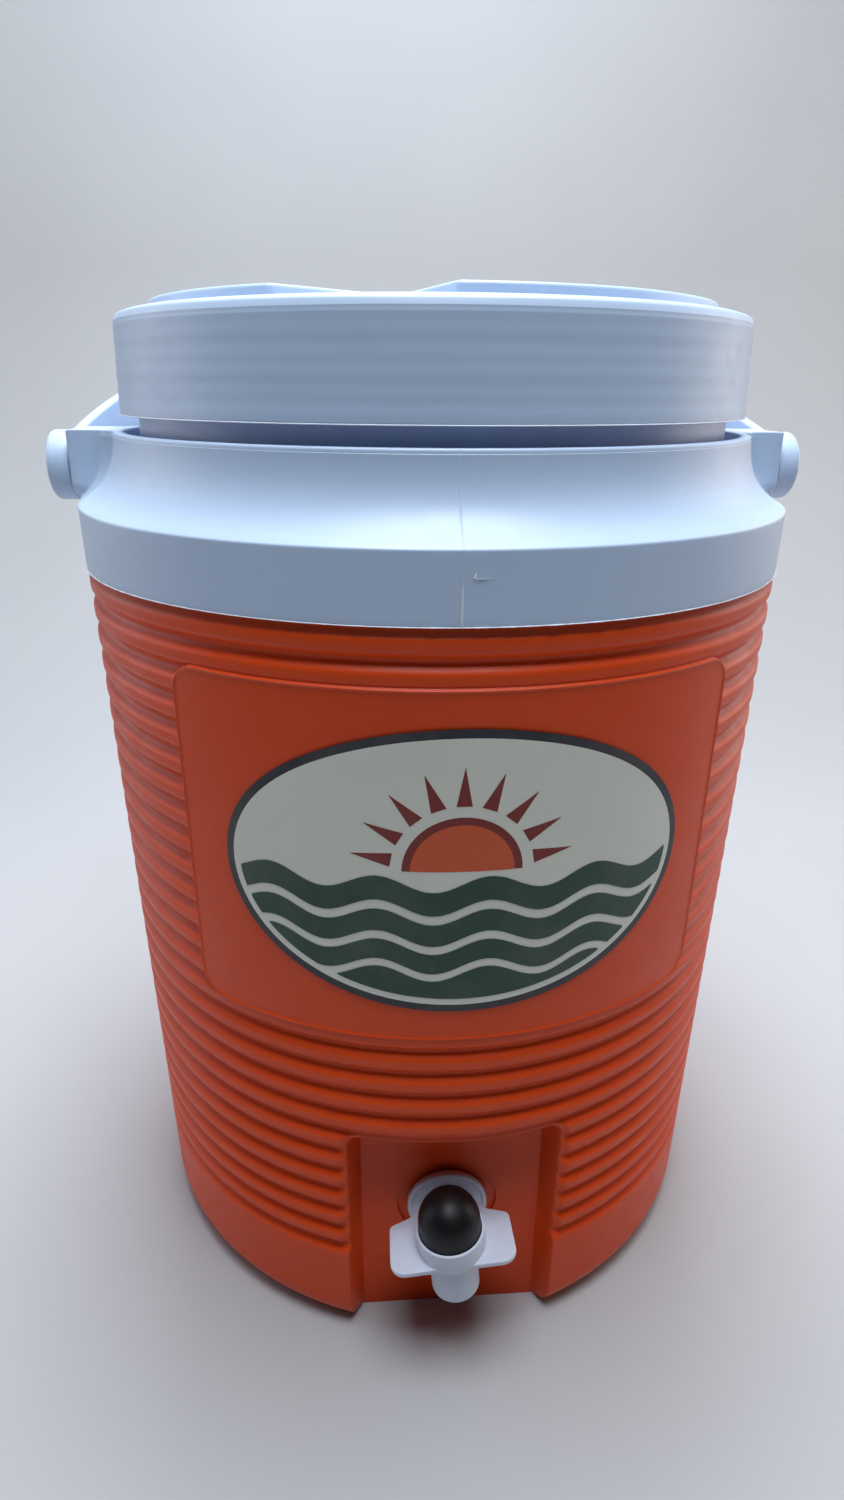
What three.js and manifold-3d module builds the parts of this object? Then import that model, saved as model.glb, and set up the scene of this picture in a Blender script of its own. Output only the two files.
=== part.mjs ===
// Round insulated drink cooler, about 2 US gallons, with a screw lid, a bail handle and a push-button spigot.
// Units are millimetres, +Z is up. The origin is the centre of the base, and the spigot faces -Y.
import * as THREE from 'three';
import { mergeVertices } from 'three/addons/utils/BufferGeometryUtils.js';
import Module from 'manifold-3d';

const wasm = await Module();
wasm.setup();

// ---------------------------------------------------------------- driving dimensions

const RING = 40; // sides of a full-size ring
const SMALL_RING = 24; // sides of a small round piece
const GAP = 0.3; // air left between pieces that touch
const DEG = Math.PI / 180;

// shell: a cone that widens slowly towards the top
const CREST_AT_FLOOR = 117.5;
const CREST_RISE = 0.0249;
const SHELL_TOP = 289.5;
const SHELL_NECK_R = 121.2;
const SHELL_FLOOR = 6.5;
const FOOT = { recess: 1.5, pad: 44, ring: 98, round: 13 };
const SHELL_INSIDE_LOW = 112.8;
const SHELL_INSIDE_HIGH = 118.6;

// rings round the shell
const RING_COUNT = 25;
const RING_PITCH = 9.29;
const FIRST_GROOVE = 43.05;
const GROOVE_DEPTH = 2;
const GROOVE_HALF = 2.2;

// raised label panel
const PANEL = { low: 142.5, high: 259, half: 83, corner: 8, proud: 0.25, root: 2.6 };
const DECAL = { width: 70, height: 47, centre: 201, thick: 0.3 };

// spigot recess in the shell
const RECESS = { floor: -102, centre: 1.2, half: 34.2, flare: 2.6, mouth: -126, top: 96, wall: 2.5 };

// liner and its neck
const LINER = { inside: 95, outside: 97.5, low: 22, thick: 2.5, shoulder: 296 };
const NECK = { inside: 99.5, outside: 102.5, top: 344 };

// collar
const COLLAR = { low: 275.6, crease: 295.5, rim: 318.5, outside: 125, inside: 121.8, rimOut: 110.8 };
const COLLAR_BORE = 107.3;
const LEDGE = { low: 312.6, high: 315.4, inside: 103.4 };

// lid
const LID = { low: 323.7, lowR: 108.3, crease: 351.2, creaseR: 107.4, top: 354.5, inside: 105.6, ceiling: 352 };
const PAD = { top: 358, outside: 96 };
const NOTCH = { angle: -16.2, half: 33, apex: 54.5, tip: 7, reach: 115 };
const NECK_LUG = { low: 332, high: 335, outside: 104.6 };
const LID_LUG = { low: 327.5, high: 330.5, inside: 103.2 };
const LUG_COUNT = 4;
const LUG_HALF = 15;
const PLUG = { low: 336, outside: 98.9, flange: 105.2, seat: 346.6, high: 348.8, thick: 2.5 };
const GASKET = { inside: 99.8, outside: 102.4 };

// bail handle, drawn flat and then turned back by its rest angle
const PIVOT_Z = 306;
const BAIL = { rest: 14.4, width: 18, outside: 132, thick: 4, sideR: 272, crownR: 126 };
const EYE = { radius: 12, inner: 128, outer: 136, chamfer: 2 };
const BOSS = { half: 14, low: 296.2, top: 318.8, face: 127.3, corner: 4 };
const PIN = { radius: 4, inner: 114.3, outer: 133.6 };

// spigot, in its own frame: origin on the inlet axis, Z along the upright tube
const SPIGOT = { z: 52.7, lean: -5.5, y: -122.2 };
const FLANGE = { radius: 14.7, front: -104.5, back: -102.4 };
const INLET = { radius: 8, end: -82, bore: 3.9, boreZ: -1.7 };
const CUP = { rim: 9.7, outside: 12, inside: 11.15, floor: 4.3, under: 2.3 };
const SPOUT = { end: -17.1, outside: 8.5, bore: 6.8, seatLow: -9.2, seatHigh: -7.2, seatHole: 4.4, chamber: 6.6 };
const WING = { half: 22, back: -112.6, front: -132.3, high: 2.5, low: 0.5, corner: 5 };
const STEM = { radius: 1.8, low: -12.8, head: -11.7, headR: 3.4, high: 19.8 };
const ORING = { inside: 2.1, outside: 4, low: 3.1, high: 4.1, groove: 4.3, grooveLow: 2.9 };
const SEAL = { radius: 6.2, low: -11.4, high: -9.5, hole: 2.1 };
const BUTTON = { base: 8.7, dome: 13.5, radius: 10.85, height: 10.7, wall: 1.65, post: 3.6, socket: 2.1 };
const SPRING = { low: 5.1, high: 18.4, coil: 6.3, wire: 0.45, turns: 5 };
const COUNTERBORE = { radius: 18.6, depth: 1.3 };
const WALL_HOLE = 8.5;
const SPOTFACE = 16.5;
const OUTER_WASHER = { inside: 8.4, outside: 13.5, front: -102.1, back: -101 };
const INNER_WASHER = { inside: 8.4, outside: 15, front: -94.7, back: -92.4 };
const NUT = { inside: 8.3, outside: 14.5, front: -92.1, back: -84.1 };

// ---------------------------------------------------------------- materials

const finish = (color, roughness, metalness = 0) => new THREE.MeshStandardMaterial({ color, roughness, metalness });
const ORANGE = finish(0xc8502a, 0.5);
const PALE_BLUE = finish(0xb9cfe6, 0.42);
const LINER_WHITE = finish(0xe6ecf2, 0.45);
const FOAM = finish(0xf0e2b8, 0.95);
const BLACK = finish(0x17181b, 0.35);
const RUBBER = finish(0x2b2c2e, 0.8);
const STEEL = finish(0xb4b8bd, 0.3, 1);
const FILM = finish(0xe9ecdf, 0.4);

// ---------------------------------------------------------------- solid helpers

/** Welds a geometry's corners, drops slivers and turns it outside out, ready for cutting. */
function weld(geometry) {
  geometry.deleteAttribute('normal');
  geometry.deleteAttribute('uv');
  const welded = mergeVertices(geometry, 1e-4);
  const place = welded.getAttribute('position').array;
  const index = welded.getIndex().array;
  const faces = [];
  let volume = 0;
  for (let i = 0; i < index.length; i += 3) {
    const [a, b, c] = [index[i], index[i + 1], index[i + 2]];
    if (a === b || b === c || c === a) continue;
    faces.push([a, b, c]);
    const [p, q, r] = [a, b, c].map((k) => new THREE.Vector3().fromArray(place, 3 * k));
    volume += p.dot(q.cross(r));
  }
  const outward = faces.map(([a, b, c]) => (volume > 0 ? [a, b, c] : [a, c, b]));
  return { place: Float32Array.from(place), faces: Uint32Array.from(outward.flat()) };
}

function solid(geometry) {
  const { place, faces } = weld(geometry);
  return new wasm.Manifold(new wasm.Mesh({ numProp: 3, vertProperties: place, triVerts: faces }));
}

function toGeometry(manifold) {
  const mesh = manifold.getMesh();
  const geometry = new THREE.BufferGeometry();
  geometry.setAttribute('position', new THREE.BufferAttribute(Float32Array.from(mesh.vertProperties), 3));
  geometry.setIndex(new THREE.BufferAttribute(Uint32Array.from(mesh.triVerts), 1));
  return geometry;
}

const join = (first, ...rest) => rest.reduce((sum, piece) => sum.add(piece), first);
const cut = (first, ...rest) => rest.reduce((sum, piece) => sum.subtract(piece), first);

/** A solid of revolution about Z. The profile is a list of [radius, height]. */
function turned(profile, sides = RING) {
  const points = profile.map(([r, z]) => new THREE.Vector2(r, z));
  const onAxis = profile[0][0] === 0 && profile.at(-1)[0] === 0;
  if (!onAxis) points.push(points[0].clone());
  return solid(new THREE.LatheGeometry(points, sides).rotateX(90 * DEG));
}

/** The same about Y: the profile is [radius, y]. */
function turnedOnY(profile, sides = SMALL_RING) {
  const points = profile.map(([r, y]) => new THREE.Vector2(r, y));
  const onAxis = profile[0][0] === 0 && profile.at(-1)[0] === 0;
  if (!onAxis) points.push(points[0].clone());
  return solid(new THREE.LatheGeometry(points, sides));
}

/** The same about X: the profile is [radius, x]. */
const turnedOnX = (profile, sides = SMALL_RING) => {
  const points = profile.map(([r, x]) => new THREE.Vector2(r, x));
  return solid(new THREE.LatheGeometry(points, sides).rotateZ(-90 * DEG));
};

const disc = (radius, low, high) => [[0, low], [radius, low], [radius, high], [0, high]];
const band = (inside, outside, low, high) => [[inside, low], [outside, low], [outside, high], [inside, high]];

/** A flat outline in X and Y, raised from low to high. */
function raised(shape, low, high, curveSegments = 6) {
  const settings = { depth: high - low, bevelEnabled: false, curveSegments };
  return solid(new THREE.ExtrudeGeometry(shape, settings).translate(0, 0, low));
}

/** An outline in X and Z, run along Y from front to back. */
function runAlongY(shape, front, back, curveSegments = 6) {
  const settings = { depth: back - front, bevelEnabled: false, curveSegments };
  return solid(new THREE.ExtrudeGeometry(shape, settings).rotateX(90 * DEG).translate(0, back, 0));
}

/** An outline in Y and Z, run along X from low to high. */
function runAlongX(shape, low, high, curveSegments = 6) {
  const settings = { depth: high - low, bevelEnabled: false, curveSegments };
  const geometry = new THREE.ExtrudeGeometry(shape, settings);
  return solid(geometry.rotateX(90 * DEG).rotateZ(90 * DEG).translate(low, 0, 0));
}

function roundedRectangle(left, low, right, high, corner) {
  const shape = new THREE.Shape();
  shape.moveTo(left + corner, low);
  shape.absarc(right - corner, low + corner, corner, -90 * DEG, 0, false);
  shape.absarc(right - corner, high - corner, corner, 0, 90 * DEG, false);
  shape.absarc(left + corner, high - corner, corner, 90 * DEG, 180 * DEG, false);
  shape.absarc(left + corner, low + corner, corner, 180 * DEG, 270 * DEG, false);
  return shape;
}

/** A wedge of angle 2 x half about a direction measured from -Y towards +X. */
function wedge(direction, half, reach, low, high) {
  const shape = new THREE.Shape();
  const ray = (angle, r) => [r * Math.sin(angle * DEG), -r * Math.cos(angle * DEG)];
  shape.moveTo(0, 0);
  shape.lineTo(...ray(direction - half, reach));
  shape.lineTo(...ray(direction, reach * 1.05));
  shape.lineTo(...ray(direction + half, reach));
  return raised(shape, low, high);
}

// ---------------------------------------------------------------- body

const crest = (z) => CREST_AT_FLOOR + CREST_RISE * z;

function shellOutline() {
  const outline = [
    [0, 0],
    [FOOT.pad, 0],
    [FOOT.pad + 2, FOOT.recess],
    [FOOT.ring, FOOT.recess],
    [FOOT.ring + 2, 0],
  ];
  for (const angle of [-90, -68, -45, -22, 0]) {
    const across = crest(FOOT.round) - FOOT.round + FOOT.round * Math.cos(angle * DEG);
    outline.push([across, FOOT.round + FOOT.round * Math.sin(angle * DEG)]);
  }
  for (let i = 0; i < RING_COUNT; i += 1) {
    const z = FIRST_GROOVE + i * RING_PITCH;
    outline.push([crest(z - GROOVE_HALF), z - GROOVE_HALF]);
    outline.push([crest(z) - GROOVE_DEPTH, z]);
    outline.push([crest(z + GROOVE_HALF), z + GROOVE_HALF]);
  }
  const last = FIRST_GROOVE + RING_COUNT * RING_PITCH - GROOVE_HALF;
  outline.push([crest(last), last]);
  outline.push([SHELL_NECK_R, COLLAR.low - 0.5]);
  outline.push([SHELL_NECK_R, SHELL_TOP]);
  outline.push([0, SHELL_TOP]);
  return outline;
}

/** The recess block, or its outer wall when grown by the wall thickness. */
function recessBlock(grow) {
  const floor = RECESS.floor + grow;
  const half = RECESS.half + grow;
  const mouthHalf = half + RECESS.flare;
  const shape = new THREE.Shape();
  shape.moveTo(-half, floor);
  shape.lineTo(-mouthHalf, RECESS.mouth);
  shape.lineTo(mouthHalf, RECESS.mouth);
  shape.lineTo(half, floor);
  return raised(shape, -8, RECESS.top + grow).translate([RECESS.centre, 0, 0]);
}

const alongInlet = (radius, front, back) => turnedOnY(disc(radius, front, back)).translate([0, 0, SPIGOT.z]);

function outerShell() {
  const hollow = turned([
    [0, SHELL_FLOOR],
    [SHELL_INSIDE_LOW, SHELL_FLOOR],
    [SHELL_INSIDE_HIGH, SHELL_TOP],
    [SHELL_INSIDE_HIGH, SHELL_TOP + 5],
    [0, SHELL_TOP + 5],
  ]);
  const panelRing = turned([
    [crest(PANEL.low) - PANEL.root, PANEL.low],
    [crest(PANEL.low) + PANEL.proud, PANEL.low],
    [crest(PANEL.high) + PANEL.proud, PANEL.high],
    [crest(PANEL.high) - PANEL.root, PANEL.high],
  ]);
  const panelOutline = roundedRectangle(-PANEL.half, PANEL.low - 1, PANEL.half, PANEL.high + 1, PANEL.corner);
  const panel = panelRing.intersect(runAlongY(panelOutline, -140, -60, 3));
  const counterbore = alongInlet(COUNTERBORE.radius, RECESS.floor - 5, RECESS.floor + COUNTERBORE.depth);
  const hole = alongInlet(WALL_HOLE, -110, -95);
  const walls = hollow.subtract(recessBlock(RECESS.wall));
  return cut(join(turned(shellOutline()), panel), walls, recessBlock(0), counterbore, hole);
}

function bodyFoam() {
  const clear = GAP + 0.1;
  const block = turned([
    [0, SHELL_FLOOR + clear],
    [SHELL_INSIDE_LOW - clear, SHELL_FLOOR + clear],
    [SHELL_INSIDE_HIGH - clear, SHELL_TOP - 0.5],
    [LINER.outside + clear, SHELL_TOP - 0.5],
    [LINER.outside + clear, LINER.low + 5.8],
    [LINER.outside - 5.6, LINER.low - clear],
    [0, LINER.low - clear],
  ]);
  const window = runAlongY(roundedRectangle(-17, SPIGOT.z - 17, 17, SPIGOT.z + 17, 4), -110, -85, 3);
  return cut(block, recessBlock(RECESS.wall + clear), window);
}

function innerLiner() {
  const wall = turned([
    [0, LINER.low],
    [LINER.outside - 6, LINER.low],
    [LINER.outside, LINER.low + 6],
    [LINER.outside, LINER.shoulder],
    [NECK.outside, LINER.shoulder + 5.5],
    [NECK.outside, NECK.top],
    [NECK.inside, NECK.top],
    [NECK.inside, LINER.shoulder + 6.8],
    [LINER.inside, LINER.shoulder + 2],
    [LINER.inside, LINER.low + 7],
    [LINER.inside - 4.5, LINER.low + LINER.thick],
    [0, LINER.low + LINER.thick],
  ]);
  const lugRing = turned(band(NECK.inside + 1, NECK_LUG.outside, NECK_LUG.low, NECK_LUG.high));
  const lugs = lugWedges(45).map((sector) => lugRing.intersect(sector));
  const hole = alongInlet(WALL_HOLE, -100, -90);
  const spotface = alongInlet(SPOTFACE, -LINER.inside, -80);
  return cut(join(wall, ...lugs), hole, spotface);
}

function lugWedges(offset) {
  const list = [];
  for (let i = 0; i < LUG_COUNT; i += 1) {
    list.push(wedge(offset + (i * 360) / LUG_COUNT, LUG_HALF, 140, 320, 340));
  }
  return list;
}

function labelDecal() {
  const inside = PANEL.proud + GAP;
  const [low, high] = [PANEL.low, PANEL.high];
  const film = turned([
    [crest(low) + inside, low],
    [crest(low) + inside + DECAL.thick, low],
    [crest(high) + inside + DECAL.thick, high],
    [crest(high) + inside, high],
  ]);
  const outline = new THREE.Shape();
  outline.absellipse(0, DECAL.centre, DECAL.width, DECAL.height, 0, 360 * DEG, false);
  return film.intersect(runAlongY(outline, -140, -60, 20));
}

/** The shoulder between the crease and the rim: a hollow sweep, steep at the rim and flatter at the crease. */
function shoulderSweep(inset) {
  const curve = new THREE.CubicBezierCurve(
    new THREE.Vector2(COLLAR.outside - 0.3 - inset, COLLAR.crease + 0.4 - inset * 0.8),
    new THREE.Vector2(COLLAR.outside - 8.5 - inset, COLLAR.crease + 4.9 - inset * 0.8),
    new THREE.Vector2(COLLAR.rimOut + 0.9 - inset, COLLAR.rim - 13.5),
    new THREE.Vector2(COLLAR.rimOut + 0.3 - inset, COLLAR.rim - 1.4),
  );
  return curve.getPoints(6).map((p) => [p.x, p.y]);
}

function handleBoss() {
  const outline = new THREE.Shape();
  outline.moveTo(-BOSS.half, BOSS.top);
  outline.lineTo(-BOSS.half, BOSS.low + BOSS.corner);
  outline.absarc(BOSS.corner - BOSS.half, BOSS.low + BOSS.corner, BOSS.corner, 180 * DEG, 270 * DEG, false);
  outline.absarc(BOSS.half - BOSS.corner, BOSS.low + BOSS.corner, BOSS.corner, 270 * DEG, 360 * DEG, false);
  outline.lineTo(BOSS.half, BOSS.top);
  const block = runAlongX(outline, 100, BOSS.face, 8);
  const socket = turnedOnX(disc(PIN.radius + GAP, PIN.inner - GAP, BOSS.face + 1)).translate([0, 0, PIVOT_Z]);
  return { block, socket };
}

function collar() {
  const sweep = shoulderSweep(0);
  const inner = shoulderSweep(3.2).slice(0, 6).reverse();
  const ring = turned([
    [COLLAR.inside, COLLAR.low],
    [COLLAR.outside - 0.5, COLLAR.low],
    [COLLAR.outside, COLLAR.crease - 0.6],
    ...sweep,
    [COLLAR.rimOut - 0.3, COLLAR.rim - 0.3],
    [COLLAR.rimOut - 1, COLLAR.rim],
    [COLLAR_BORE, COLLAR.rim],
    [COLLAR_BORE, LEDGE.high],
    [LEDGE.inside, LEDGE.high],
    [LEDGE.inside, LEDGE.low],
    ...inner,
  ]);
  const { block, socket } = handleBoss();
  const core = turned(disc(COLLAR_BORE + 0.2, 270, 330));
  const bosses = [0, 180].map((angle) => block.subtract(core).subtract(socket).rotate([0, 0, angle]));
  const sockets = [0, 180].map((angle) => socket.rotate([0, 0, angle]));
  return cut(join(ring, ...bosses), ...sockets);
}

// ---------------------------------------------------------------- lid

/** The finger notch's outline: two straight sides that meet in a round tip. */
function notchOutline(direction) {
  const turn = (along, across) => {
    const a = direction * DEG;
    return [along * Math.sin(a) + across * Math.cos(a), -along * Math.cos(a) + across * Math.sin(a)];
  };
  const half = NOTCH.half * DEG;
  const centre = NOTCH.apex + NOTCH.tip / Math.sin(half);
  const [cx, cy] = turn(centre, 0);
  const spread = (NOTCH.reach - NOTCH.apex) * Math.tan(half);
  const inward = 90 * DEG + direction * DEG;
  const shape = new THREE.Shape();
  shape.moveTo(...turn(NOTCH.reach, spread));
  shape.lineTo(...turn(centre - NOTCH.tip * Math.sin(half), NOTCH.tip * Math.cos(half)));
  shape.absarc(cx, cy, NOTCH.tip, inward - (90 * DEG - half), inward + (90 * DEG - half), false);
  shape.lineTo(...turn(NOTCH.reach, -spread));
  return shape;
}

function lidCap() {
  const cap = turned([
    [0, LID.ceiling],
    [LID.inside, LID.ceiling],
    [LID.inside, LID.low],
    [LID.lowR, LID.low],
    [LID.creaseR, LID.crease],
    [LID.creaseR - 0.5, LID.top - 1.7],
    [LID.creaseR - 1.9, LID.top - 0.5],
    [LID.creaseR - 3.8, LID.top],
    [0, LID.top],
  ]);
  const plate = turned([
    [0, LID.ceiling + 1],
    [PAD.outside + 0.2, LID.ceiling + 1],
    [PAD.outside, PAD.top - 1.2],
    [PAD.outside - 1.2, PAD.top],
    [0, PAD.top],
  ]);
  const notches = [0, 180].map((turn) => raised(notchOutline(NOTCH.angle + turn), LID.top, PAD.top + 4, 4));
  const lugRing = turned(band(LID_LUG.inside, LID.inside + 1, LID_LUG.low, LID_LUG.high));
  const lugs = lugWedges(0).map((sector) => lugRing.intersect(sector));
  return join(cap, cut(plate, ...notches), ...lugs);
}

const lidInnerPlate = () =>
  turned([
    [0, PLUG.low],
    [PLUG.outside, PLUG.low],
    [PLUG.outside, PLUG.seat],
    [PLUG.flange, PLUG.seat],
    [PLUG.flange, PLUG.high],
    [PLUG.outside - PLUG.thick, PLUG.high],
    [PLUG.outside - PLUG.thick, PLUG.low + PLUG.thick],
    [0, PLUG.low + PLUG.thick],
  ]);

const lidFoam = () => turned(disc(PLUG.outside - PLUG.thick - GAP, PLUG.low + PLUG.thick + GAP, LID.ceiling - GAP));

const lidGasket = () => turned(band(GASKET.inside, GASKET.outside, NECK.top + GAP, PLUG.seat - GAP));

// ---------------------------------------------------------------- handle, drawn flat with the pivot at the origin

/** The strap seen flat: straight-ish sides of a large radius, closed by a tighter crown. */
function bailOutline() {
  const sideX = BAIL.sideR - BAIL.outside;
  const blend = Math.acos(sideX / (BAIL.sideR - BAIL.crownR));
  const crownY = (BAIL.sideR - BAIL.crownR) * Math.sin(blend);
  const shape = new THREE.Shape();
  shape.moveTo(BAIL.outside, 0);
  shape.absarc(-sideX, 0, BAIL.sideR, 0, blend, false);
  shape.absarc(0, crownY, BAIL.crownR, blend, Math.PI - blend, false);
  shape.absarc(sideX, 0, BAIL.sideR, Math.PI - blend, Math.PI, false);
  shape.lineTo(-BAIL.outside + BAIL.thick, 0);
  shape.absarc(sideX, 0, BAIL.sideR - BAIL.thick, Math.PI, Math.PI - blend, true);
  shape.absarc(0, crownY, BAIL.crownR - BAIL.thick, Math.PI - blend, blend, true);
  shape.absarc(-sideX, 0, BAIL.sideR - BAIL.thick, blend, 0, true);
  return shape;
}

function bailHandle() {
  const strap = raised(bailOutline(), -BAIL.width / 2, BAIL.width / 2, 9);
  const eye = turnedOnX([
    [0, EYE.inner],
    [EYE.radius, EYE.inner],
    [EYE.radius, EYE.outer - EYE.chamfer],
    [EYE.radius - EYE.chamfer, EYE.outer],
    [0, EYE.outer],
  ]);
  const bore = turnedOnX(disc(PIN.radius + GAP, EYE.inner - 1, PIN.outer + GAP));
  const pair = (piece) => [0, 180].map((angle) => piece.rotate([0, 0, angle]));
  return cut(join(strap, ...pair(eye)), ...pair(bore));
}

const handlePin = (side) => turnedOnX(disc(PIN.radius, PIN.inner, PIN.outer)).rotate([0, 0, side > 0 ? 0 : 180]);

// ---------------------------------------------------------------- spigot, in its own frame

const upright = (profile, sides = SMALL_RING) => turned(profile, sides).translate([0, SPIGOT.y, 0]);

function wingPlate() {
  const { half, back, front, corner } = WING;
  const shape = new THREE.Shape();
  shape.moveTo(-9, FLANGE.front);
  shape.quadraticCurveTo(-13.5, back + 1.5, -half, back);
  shape.absarc(-half + corner, front + corner, corner, 180 * DEG, 270 * DEG, false);
  shape.absarc(half - corner, front + corner, corner, 270 * DEG, 360 * DEG, false);
  shape.lineTo(half, back);
  shape.quadraticCurveTo(13.5, back + 1.5, 9, FLANGE.front);
  return raised(shape, WING.low, WING.high, 5);
}

function spigotBody() {
  const tube = upright([
    [0, SPOUT.end],
    [SPOUT.outside, SPOUT.end],
    [SPOUT.outside, -1.2],
    [CUP.outside - 0.8, 0.4],
    [CUP.outside - 0.2, WING.high],
    [CUP.outside, CUP.rim],
    [0, CUP.rim],
  ]);
  const passage = upright([
    [0, SPOUT.end - 1],
    [SPOUT.bore, SPOUT.end - 1],
    [SPOUT.bore, SPOUT.seatLow],
    [SPOUT.seatHole, SPOUT.seatLow],
    [SPOUT.seatHole, SPOUT.seatHigh],
    [SPOUT.chamber, SPOUT.seatHigh],
    [SPOUT.chamber, CUP.under],
    [STEM.radius + 0.5, CUP.under],
    [STEM.radius + 0.5, ORING.grooveLow],
    [ORING.groove, ORING.grooveLow],
    [ORING.groove, CUP.floor],
    [CUP.inside, CUP.floor],
    [CUP.inside, CUP.rim + 1],
    [0, CUP.rim + 1],
  ]);
  const inlet = turnedOnY(disc(INLET.radius, SPIGOT.y + 3, INLET.end));
  const flange = turnedOnY([
    [0, FLANGE.front],
    [FLANGE.radius - 1, FLANGE.front],
    [FLANGE.radius, FLANGE.front + 0.8],
    [FLANGE.radius, FLANGE.back],
    [0, FLANGE.back],
  ], RING);
  const bore = turnedOnY(disc(INLET.bore, SPIGOT.y + 1, INLET.end + 1)).translate([0, 0, INLET.boreZ]);
  const cupSpace = upright(disc(CUP.inside, CUP.floor, CUP.rim + 1));
  return cut(join(tube, cut(join(inlet, flange, wingPlate()), cupSpace)), passage, bore);
}

function spigotButton() {
  const { base, dome: domeBase, radius, height, wall, post, socket } = BUTTON;
  const dome = [];
  const inside = [[radius - wall, base]];
  const steps = 6;
  for (let i = 0; i <= steps; i += 1) {
    const a = (90 * DEG * (steps - i)) / steps;
    dome.push([i === 0 ? 0 : radius * Math.cos(a), domeBase + height * Math.sin(a)]);
  }
  dome.push([radius, base]);
  const hollow = radius - wall;
  for (let i = 0; i <= 4; i += 1) {
    const a = (Math.acos(post / hollow) * i) / 4;
    inside.push([hollow * Math.cos(a), domeBase + (height - wall) * Math.sin(a)]);
  }
  return upright([
    ...dome,
    ...inside,
    [post, base + 0.2],
    [socket, base + 0.2],
    [socket, STEM.high + GAP],
    [0, STEM.high + GAP],
  ]);
}

const spigotStem = () =>
  upright([
    [0, STEM.low],
    [STEM.headR, STEM.low],
    [STEM.headR, STEM.head],
    [STEM.radius, STEM.head],
    [STEM.radius, STEM.high],
    [0, STEM.high],
  ]);

/** A coil spring: a small six-sided wire run along a helix. */
function spigotSpring() {
  class Helix extends THREE.Curve {
    getPoint(t) {
      const a = t * SPRING.turns * 360 * DEG;
      const z = SPRING.low + t * (SPRING.high - SPRING.low);
      return new THREE.Vector3(SPRING.coil * Math.cos(a), SPIGOT.y + SPRING.coil * Math.sin(a), z);
    }
  }
  const wire = new THREE.Shape();
  wire.absarc(0, 0, SPRING.wire, 0, 360 * DEG, false);
  const settings = { steps: SPRING.turns * 11, bevelEnabled: false, curveSegments: 3, extrudePath: new Helix() };
  return solid(new THREE.ExtrudeGeometry(wire, settings));
}

const spigotSeal = () => upright(band(SEAL.hole, SEAL.radius, SEAL.low, SEAL.high));
const stemRing = () => upright(band(ORING.inside, ORING.outside, ORING.low, ORING.high));
const washer = ({ inside, outside, front, back }) => turnedOnY(band(inside, outside, front, back));
const spigotNut = () => cut(turnedOnY(disc(NUT.outside, NUT.front, NUT.back), 6), inletClear());
const inletClear = () => turnedOnY(disc(NUT.inside, NUT.front - 1, NUT.back + 1));

// ---------------------------------------------------------------- assembly

const cooler = new THREE.Group();

function addPiece(parent, name, piece, material) {
  const mesh = new THREE.Mesh(toGeometry(piece), material);
  mesh.name = name;
  parent.add(mesh);
}

addPiece(cooler, 'outer_shell', outerShell(), ORANGE);
addPiece(cooler, 'body_foam', bodyFoam(), FOAM);
addPiece(cooler, 'inner_liner', innerLiner(), LINER_WHITE);
addPiece(cooler, 'label_decal', labelDecal(), FILM);
addPiece(cooler, 'collar', collar(), PALE_BLUE);
addPiece(cooler, 'lid_cap', lidCap(), PALE_BLUE);
addPiece(cooler, 'lid_inner_plate', lidInnerPlate(), LINER_WHITE);
addPiece(cooler, 'lid_foam', lidFoam(), FOAM);
addPiece(cooler, 'lid_gasket', lidGasket(), RUBBER);

const handle = new THREE.Group();
handle.position.z = PIVOT_Z;
handle.rotation.x = BAIL.rest * DEG;
addPiece(handle, 'bail_handle', bailHandle(), PALE_BLUE);
addPiece(handle, 'handle_pin_left', handlePin(-1), PALE_BLUE);
addPiece(handle, 'handle_pin_right', handlePin(1), PALE_BLUE);
cooler.add(handle);

const spigot = new THREE.Group();
spigot.position.z = SPIGOT.z;
spigot.rotation.y = SPIGOT.lean * DEG;
addPiece(spigot, 'spigot_body', spigotBody(), PALE_BLUE);
addPiece(spigot, 'spigot_button', spigotButton(), BLACK);
addPiece(spigot, 'spigot_stem', spigotStem(), LINER_WHITE);
addPiece(spigot, 'spigot_spring', spigotSpring(), STEEL);
addPiece(spigot, 'spigot_valve_seal', spigotSeal(), RUBBER);
addPiece(spigot, 'spigot_stem_oring', stemRing(), RUBBER);
addPiece(spigot, 'spigot_outer_washer', washer(OUTER_WASHER), RUBBER);
addPiece(spigot, 'spigot_inner_washer', washer(INNER_WASHER), RUBBER);
addPiece(spigot, 'spigot_nut', spigotNut(), PALE_BLUE);
cooler.add(spigot);

export default cooler;
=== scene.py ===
# %% [markdown]
# # A round insulated drink cooler
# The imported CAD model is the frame: it fixes every size, place and joint. This lesson makes the surfaces that
# are seen. Each step names one piece or one finish, says how it could be made, and why it is made this way.
# Lengths in the steps are in millimetres, as in a moulder's drawing, and MM turns them to metres.
# %% Load the frame
import math

import bmesh
import bpy
import numpy as np
from mathutils import Matrix, Vector


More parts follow.
